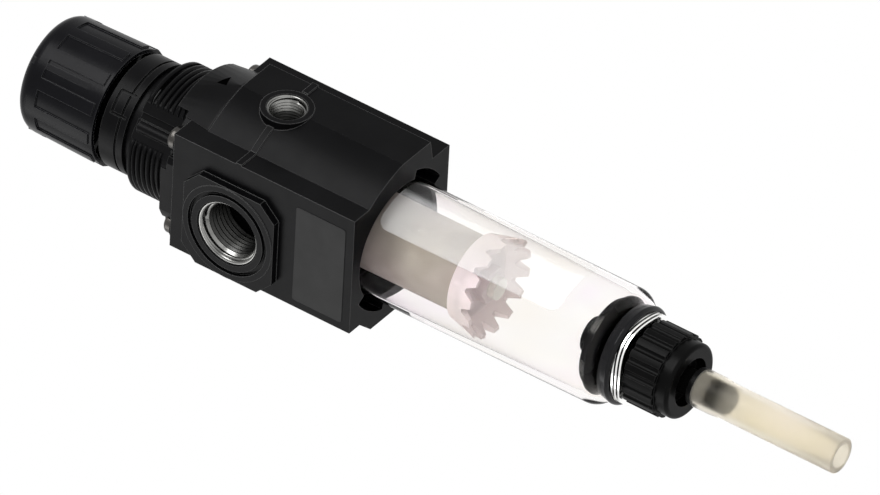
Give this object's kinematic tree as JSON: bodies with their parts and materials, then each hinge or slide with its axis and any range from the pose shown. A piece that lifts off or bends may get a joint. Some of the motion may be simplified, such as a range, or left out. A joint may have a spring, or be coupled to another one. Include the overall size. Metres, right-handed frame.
{
  "type": "compressed-air filter-regulator",
  "caption": "In-line air pressure regulator with a push-lock knob, threaded side ports, a gauge port, and a clear bayonet filter bowl with a manual drain and hose.",
  "frame": {"origin": "on the common axis of the knob, valve and bowl, level with the axis of the two main ports, which passes 3 mm behind it", "axes": "+Z towards the knob, -Y is the front with the gauge port, and the pipe run lies along X from the inlet at -X to the outlet at +X"},
  "size_m": [0.0448, 0.0493, 0.2437],
  "materials": {
    "casting_paint": "satin black powder coat",
    "bonnet_plastic": "satin moulded black plastic",
    "screw_steel": "zinc plated",
    "collar_plastic": "moulded black plastic",
    "plug_brass": "turned brass",
    "seal_rubber": "black nitrile",
    "seat_brass": "turned brass",
    "cage_plastic": "natural acetal",
    "louvre_plastic": "natural acetal",
    "element": "sintered, matt",
    "baffle_plastic": "translucent natural plastic",
    "diaphragm_rubber": "fabric-reinforced nitrile",
    "screw_shaft": "zinc plated",
    "washer_plastic": "low-friction plastic",
    "knob_plastic": "satin moulded black plastic",
    "button_brass": "turned brass",
    "spring_steel": "oiled spring steel",
    "plate_steel": "zinc plated",
    "poppet_rubber": "nitrile moulded on brass",
    "valve_spring_steel": "bright wire",
    "bowl_clear": "clear polycarbonate",
    "drain_plastic": "gloss moulded black",
    "drain_spring_steel": "bright wire",
    "drain_nut_plastic": "satin moulded black plastic",
    "tube_soft": "translucent pale yellow flexible tube"
  },
  "bodies": {
    "housing": {"body_casting": "casting_paint", "bonnet": "bonnet_plastic", "bonnet_screws": "screw_steel", "locking_collar": "collar_plastic", "rear_gauge_plug": "plug_brass", "rear_plug_seal": "seal_rubber", "valve_seat": "seat_brass", "valve_cage": "cage_plastic", "cage_seal": "seal_rubber", "louvre": "louvre_plastic", "filter_element": "element", "star_baffle": "baffle_plastic", "baffle_nut": "baffle_plastic", "diaphragm": "diaphragm_rubber", "regulating_spring": "spring_steel", "valve_spring": "valve_spring_steel"},
    "screw": {"adjusting_screw": "screw_shaft", "thrust_washer": "washer_plastic"},
    "knob": {"knob": "knob_plastic"},
    "button": {"spring_button": "button_brass"},
    "valve": {"diaphragm_plate": "plate_steel", "relief_seat": "seat_brass", "valve_pin": "seat_brass", "valve_poppet": "poppet_rubber"},
    "bowl": {"bowl": "bowl_clear", "bowl_seal": "seal_rubber", "drain_body": "drain_plastic", "drain_body_seal": "seal_rubber", "drain_collar": "drain_plastic", "drain_spring": "drain_spring_steel"},
    "drain_nut": {"drain_nut": "drain_nut_plastic"},
    "drain_stem": {"drain_stem": "drain_nut_plastic", "stem_seal": "seal_rubber", "drain_tube": "tube_soft"}
  },
  "joints": [
    {"name": "adjust_turn", "type": "hinge", "parent": "housing", "child": "screw", "pos_m": [0, 0, 0.05], "axis": [0, 0, -1], "range_deg": [0, 1800]},
    {"name": "knob_lock", "type": "slide", "parent": "screw", "child": "knob", "axis": [0, 0, 1], "range_m": [-0.0016, 0]},
    {"name": "button_feed", "type": "slide", "parent": "housing", "child": "button", "axis": [0, 0, -1], "range_m": [0, 0.00625], "deforming": ["regulating_spring"]},
    {"name": "valve_lift", "type": "slide", "parent": "housing", "child": "valve", "axis": [0, 0, 1], "range_m": [-0.0014, 0], "stiffness_N_per_m": 400, "springref_m": 0.004, "deforming": ["valve_spring", "diaphragm"]},
    {"name": "bowl_turn", "type": "hinge", "parent": "housing", "child": "bowl", "pos_m": [0, 0, -0.06], "axis": [0, 0, 1], "range_deg": [0, 45]},
    {"name": "drain_nut_turn", "type": "hinge", "parent": "bowl", "child": "drain_nut", "pos_m": [0, 0, -0.118], "axis": [0, 0, 1], "range_deg": [0, 90]},
    {"name": "drain_lift", "type": "slide", "parent": "bowl", "child": "drain_stem", "axis": [0, 0, 1], "range_m": [0, 0.0015]}
  ],
  "couplings": [
    {"joint": "adjust_turn", "follows": "button_feed", "rad_per_m": 5026.5},
    {"joint": "drain_nut_turn", "follows": "drain_lift", "rad_per_m": 1047.2}
  ]
}
